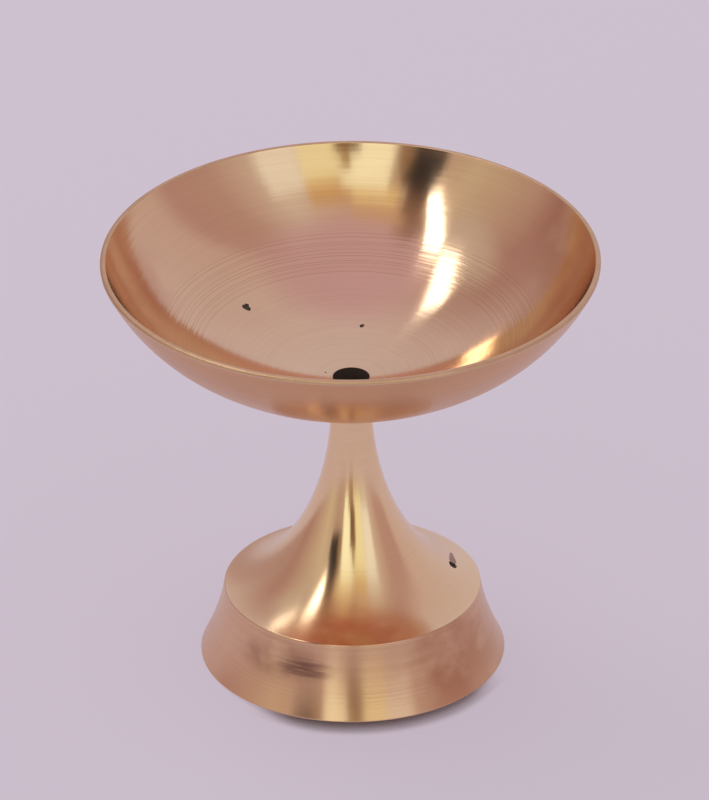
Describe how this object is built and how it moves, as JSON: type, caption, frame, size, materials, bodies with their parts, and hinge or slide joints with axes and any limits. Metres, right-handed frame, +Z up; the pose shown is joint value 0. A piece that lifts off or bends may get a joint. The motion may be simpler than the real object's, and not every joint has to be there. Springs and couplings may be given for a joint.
{
  "type": "butter lamp",
  "caption": "Small turned brass butter lamp: an open round bowl with a wick hole in its floor, screwed on to a trumpet-shaped pedestal with a flared, hollow foot.",
  "frame": {"origin": "centre of the foot's rest ring, on the surface that the lamp stands on", "axes": "+Z up along the lamp's turning axis; X and Y are free, because both pieces are round"},
  "size_m": [0.064, 0.064, 0.057],
  "materials": {
    "bowl_brass": "turned and polished, with fine concentric tool lines",
    "pedestal_brass": "turned and polished"
  },
  "bodies": {
    "pedestal": {"pedestal": "pedestal_brass"},
    "bowl": {"bowl": "bowl_brass"}
  },
  "joints": [
    {"name": "bowl_lift", "type": "slide", "parent": "pedestal", "child": "bowl", "axis": [0, 0, 1], "range_m": [0, 0.01]}
  ]
}
